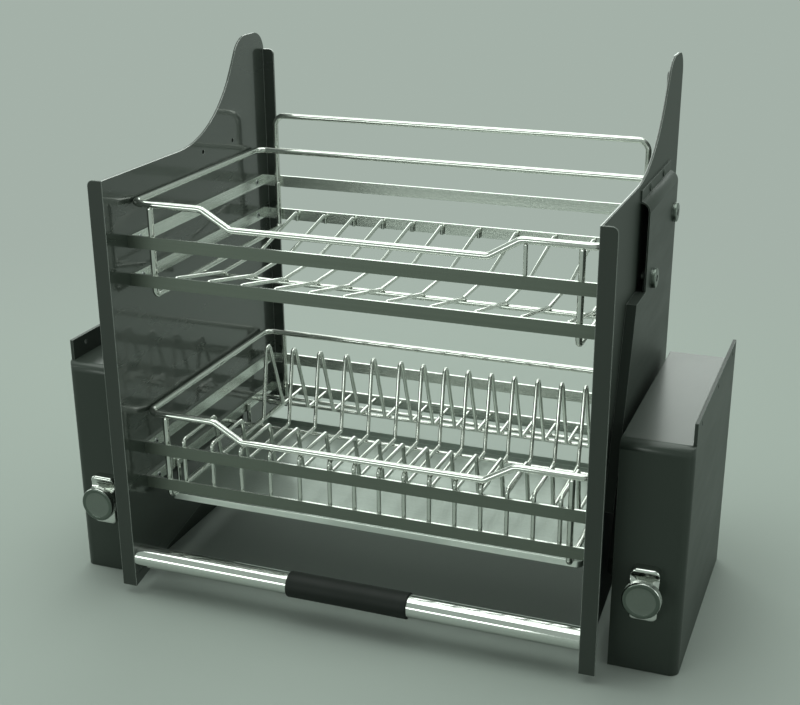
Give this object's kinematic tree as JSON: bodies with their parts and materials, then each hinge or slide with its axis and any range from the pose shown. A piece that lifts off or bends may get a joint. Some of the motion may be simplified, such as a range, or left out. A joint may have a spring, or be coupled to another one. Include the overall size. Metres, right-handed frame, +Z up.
{
  "type": "pull-down dish rack",
  "caption": "Pull-down dish rack for a wall cabinet: two-tier wire baskets between sheet side panels that swing down on parallel arms from spring boxes at the sides.",
  "frame": {"origin": "on the surface that the side boxes stand on, under the middle of the bounding box", "axes": "+X to the right across the rack as seen by the user, +Y from the front to the back of the cabinet, +Z up"},
  "size_m": [0.564, 0.304, 0.4694],
  "materials": {
    "painted_steel": "semi-gloss",
    "chrome": "polished",
    "stainless": "polished",
    "zinc_steel": "satin",
    "bronze": "satin",
    "black_plastic": "matt",
    "grip_rubber": "matt"
  },
  "bodies": {
    "side_boxes": {"left_housing": "painted_steel", "left_wall_plate": "painted_steel", "left_knob_base": "chrome", "left_damper": "black_plastic", "left_axle_bushes": "bronze", "left_balance_spring": "zinc_steel", "right_housing": "painted_steel", "right_wall_plate": "painted_steel", "right_knob_base": "chrome", "right_damper": "black_plastic", "right_axle_bushes": "bronze", "right_balance_spring": "zinc_steel"},
    "front_arms": {"left_front_arm": "painted_steel", "right_front_arm": "painted_steel", "left_front_axle": "zinc_steel", "right_front_axle": "zinc_steel"},
    "rear_arms": {"left_rear_arm": "painted_steel", "right_rear_arm": "painted_steel", "left_rear_axle": "zinc_steel", "right_rear_axle": "zinc_steel"},
    "rack": {"left_side_panel": "painted_steel", "right_side_panel": "painted_steel", "left_arm_cover": "painted_steel", "right_arm_cover": "painted_steel", "left_pivot_pins": "stainless", "right_pivot_pins": "stainless", "left_cover_screws": "zinc_steel", "right_cover_screws": "zinc_steel", "handle_tube": "stainless", "handle_grip": "grip_rubber", "handle_screws": "zinc_steel", "rear_guard": "stainless", "upper_top_rod": "stainless", "upper_bands": "stainless", "upper_frame_rods": "stainless", "upper_floor_wires": "stainless", "upper_cross_rails": "stainless", "upper_stay_wire": "stainless", "upper_screws": "zinc_steel", "lower_top_rod": "stainless", "lower_bands": "stainless", "lower_frame_rods": "stainless", "lower_plate_wires": "stainless", "lower_floor_rails": "stainless", "lower_tray_rails": "stainless", "lower_screws": "zinc_steel"},
    "tray": {"drip_tray": "stainless"},
    "left_adjuster": {"left_knob": "chrome", "left_adjusting_screw": "zinc_steel"},
    "right_adjuster": {"right_knob": "chrome", "right_adjusting_screw": "zinc_steel"},
    "left_block": {"left_spring_block": "bronze"},
    "right_block": {"right_spring_block": "bronze"}
  },
  "joints": [
    {"name": "arm_swing", "type": "hinge", "parent": "side_boxes", "child": "front_arms", "pos_m": [0, -0.0684, 0.07], "axis": [1, 0, 0], "range_deg": [0, 118], "stiffness_Nm_per_rad": 3, "deforming": ["left_balance_spring", "right_balance_spring"]},
    {"name": "rack_level", "type": "hinge", "parent": "front_arms", "child": "rack", "pos_m": [0, 0.0136, 0.299], "axis": [1, 0, 0], "range_deg": [-118, 0]},
    {"name": "rear_arm_swing", "type": "hinge", "parent": "side_boxes", "child": "rear_arms", "pos_m": [0, 0.0171, 0.1065], "axis": [1, 0, 0], "range_deg": [0, 118]},
    {"name": "tray_slide", "type": "slide", "parent": "rack", "child": "tray", "axis": [0, -1, 0], "range_m": [0, 0.14]},
    {"name": "left_knob_turn", "type": "hinge", "parent": "side_boxes", "child": "left_adjuster", "pos_m": [-0.25115, -0.1359, 0.076], "axis": [0, 1, 0], "range_deg": [-360, 360]},
    {"name": "left_block_slide", "type": "slide", "parent": "side_boxes", "child": "left_block", "axis": [0, 1, 0], "range_m": [-0.002, 0.002], "deforming": ["left_balance_spring"]},
    {"name": "right_knob_turn", "type": "hinge", "parent": "side_boxes", "child": "right_adjuster", "pos_m": [0.25115, -0.1359, 0.076], "axis": [0, 1, 0], "range_deg": [-360, 360]},
    {"name": "right_block_slide", "type": "slide", "parent": "side_boxes", "child": "right_block", "axis": [0, 1, 0], "range_m": [-0.002, 0.002], "deforming": ["right_balance_spring"]}
  ],
  "couplings": [
    {"joint": "rack_level", "follows": "arm_swing", "ratio": -1},
    {"joint": "rear_arm_swing", "follows": "arm_swing", "ratio": 1},
    {"joint": "left_block_slide", "follows": "left_knob_turn", "m_per_rad": 0.00031831},
    {"joint": "right_block_slide", "follows": "right_knob_turn", "m_per_rad": 0.00031831}
  ]
}
